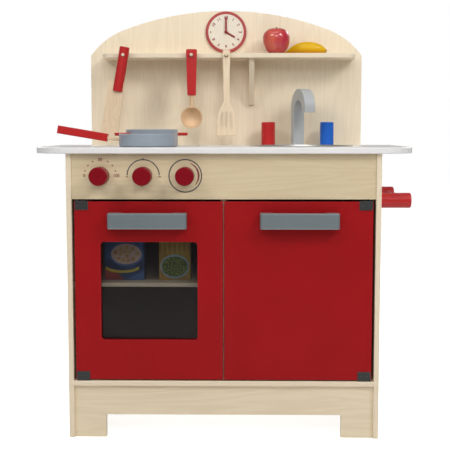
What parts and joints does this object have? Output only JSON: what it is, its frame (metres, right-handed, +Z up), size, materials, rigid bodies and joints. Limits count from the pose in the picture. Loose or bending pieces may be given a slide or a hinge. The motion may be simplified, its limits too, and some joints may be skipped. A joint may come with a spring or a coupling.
{
  "type": "play kitchen",
  "caption": "Wooden play kitchen with a windowed oven, a cupboard, turning knobs, a sink with a swivelling tap, a shelf with a clock and pegs, and loose cookware.",
  "frame": {"origin": "middle of the overall width and depth, on the floor", "axes": "+Z up, +X to the right as seen from the front, front faces -Y"},
  "size_m": [0.732, 0.3836, 0.8584],
  "materials": {
    "birch": "satin lacquer over birch plywood",
    "pale_wood": "bare sanded beech",
    "tan_wood": "turned wood, matt",
    "hardboard": "thin hardboard, smooth",
    "white_laminate": "white satin foil on board",
    "red_paint": "red satin paint on wood",
    "grey_paint": "blue-grey satin paint on wood",
    "silver_paint": "silver-grey paint on turned wood",
    "blue_paint": "blue satin paint on wood",
    "apple_lacquer": "red gloss lacquer on turned wood",
    "banana_lacquer": "yellow lacquer on wood",
    "printed_card": "coated printed card",
    "smoked_pane": "clear smoked acrylic",
    "steel": "zinc plated",
    "sink_steel": "brushed stainless steel",
    "dark_metal": "dark satin coating",
    "black_plastic": "moulded"
  },
  "bodies": {
    "cabinet": {"left_side": "birch", "right_side": "birch", "bottom_board": "birch", "skirt": "birch", "center_divider": "birch", "back_panel": "hardboard", "oven_shelf": "birch", "shelf_pins": "steel", "corner_blocks": "birch", "control_panel": "birch", "hinge_bushes": "black_plastic", "worktop": "white_laminate", "backboard": "birch", "upper_shelf": "birch", "shelf_bracket": "birch", "cabinet_screws": "steel", "utensil_pegs": "pale_wood", "clock_face": "birch", "clock_pin": "steel", "door_catches": "black_plastic", "rail_posts": "red_paint", "rail_bar": "red_paint", "sink_bowl": "sink_steel"},
    "left_door": {"left_door_panel": "red_paint", "window_pane": "smoked_pane", "left_handle": "grey_paint", "left_door_fittings": "steel", "left_hinge_clips": "dark_metal"},
    "right_door": {"right_door_panel": "red_paint", "right_handle": "grey_paint", "right_door_fittings": "steel", "right_hinge_clips": "dark_metal"},
    "left_knob": {"left_knob": "red_paint", "left_knob_screw": "steel"},
    "middle_knob": {"middle_knob": "red_paint", "middle_knob_screw": "steel"},
    "right_knob": {"right_knob": "red_paint", "right_knob_screw": "steel"},
    "minute_hand": {"minute_hand": "red_paint"},
    "hour_hand": {"hour_hand": "red_paint"},
    "tap": {"tap": "grey_paint", "tap_screw": "steel"},
    "hot_valve": {"hot_valve": "red_paint", "hot_valve_screw": "steel"},
    "cold_valve": {"cold_valve": "blue_paint", "cold_valve_screw": "steel"},
    "pan": {"pan_body": "silver_paint", "pan_neck": "pale_wood", "pan_grip": "red_paint"},
    "pot": {"pot_body": "silver_paint", "pot_handles": "red_paint"},
    "cleaver": {"cleaver_blade": "pale_wood", "cleaver_handle": "red_paint"},
    "ladle": {"ladle_bowl": "tan_wood", "ladle_handle": "red_paint"},
    "spatula": {"spatula": "pale_wood"},
    "apple": {"apple": "apple_lacquer"},
    "banana": {"banana": "banana_lacquer"},
    "left_carton": {"left_carton": "printed_card"},
    "right_carton": {"right_carton": "printed_card"}
  },
  "joints": [
    {"name": "left_door_hinge", "type": "hinge", "parent": "cabinet", "child": "left_door", "pos_m": [-0.276, -0.15125, 0.29], "axis": [0, 0, -1], "range_deg": [0, 105]},
    {"name": "right_door_hinge", "type": "hinge", "parent": "cabinet", "child": "right_door", "pos_m": [0.276, -0.15125, 0.29], "axis": [0, 0, 1], "range_deg": [0, 105]},
    {"name": "left_knob_turn", "type": "hinge", "parent": "cabinet", "child": "left_knob", "pos_m": [-0.2344, -0.17425, 0.51], "axis": [0, -1, 0], "continuous": true},
    {"name": "middle_knob_turn", "type": "hinge", "parent": "cabinet", "child": "middle_knob", "pos_m": [-0.1527, -0.17425, 0.51], "axis": [0, -1, 0], "continuous": true},
    {"name": "right_knob_turn", "type": "hinge", "parent": "cabinet", "child": "right_knob", "pos_m": [-0.0726, -0.17425, 0.51], "axis": [0, -1, 0], "continuous": true},
    {"name": "minute_hand_turn", "type": "hinge", "parent": "cabinet", "child": "minute_hand", "pos_m": [0, 0.17475, 0.812], "axis": [0, 1, 0], "continuous": true},
    {"name": "hour_hand_turn", "type": "hinge", "parent": "cabinet", "child": "hour_hand", "pos_m": [0, 0.17475, 0.812], "axis": [0, 1, 0], "continuous": true},
    {"name": "tap_swivel", "type": "hinge", "parent": "cabinet", "child": "tap", "pos_m": [0.157, 0.14175, 0.57], "axis": [0, 0, 1], "range_deg": [-111, 69]},
    {"name": "hot_valve_turn", "type": "hinge", "parent": "cabinet", "child": "hot_valve", "pos_m": [0.093, 0.14175, 0.57], "axis": [0, 0, 1], "continuous": true},
    {"name": "cold_valve_turn", "type": "hinge", "parent": "cabinet", "child": "cold_valve", "pos_m": [0.221, 0.14175, 0.57], "axis": [0, 0, 1], "continuous": true},
    {"name": "pan_lift", "type": "slide", "parent": "cabinet", "child": "pan", "axis": [0, 0, 1], "range_m": [0, 0.06]},
    {"name": "pot_lift", "type": "slide", "parent": "cabinet", "child": "pot", "axis": [0, 0, 1], "range_m": [0, 0.07]},
    {"name": "apple_lift", "type": "slide", "parent": "cabinet", "child": "apple", "axis": [0, 0, 1], "range_m": [0, 0.06]},
    {"name": "banana_lift", "type": "slide", "parent": "cabinet", "child": "banana", "axis": [0, 0, 1], "range_m": [0, 0.06]},
    {"name": "cleaver_slide", "type": "slide", "parent": "cabinet", "child": "cleaver", "axis": [0, -1, 0], "range_m": [0, 0.03]},
    {"name": "ladle_slide", "type": "slide", "parent": "cabinet", "child": "ladle", "axis": [0, -1, 0], "range_m": [0, 0.03]},
    {"name": "spatula_slide", "type": "slide", "parent": "cabinet", "child": "spatula", "axis": [0, -1, 0], "range_m": [0, 0.03]},
    {"name": "left_carton_slide", "type": "slide", "parent": "cabinet", "child": "left_carton", "axis": [0, 1, 0], "range_m": [0, 0.2]},
    {"name": "right_carton_slide", "type": "slide", "parent": "cabinet", "child": "right_carton", "axis": [0, 1, 0], "range_m": [0, 0.2]}
  ]
}
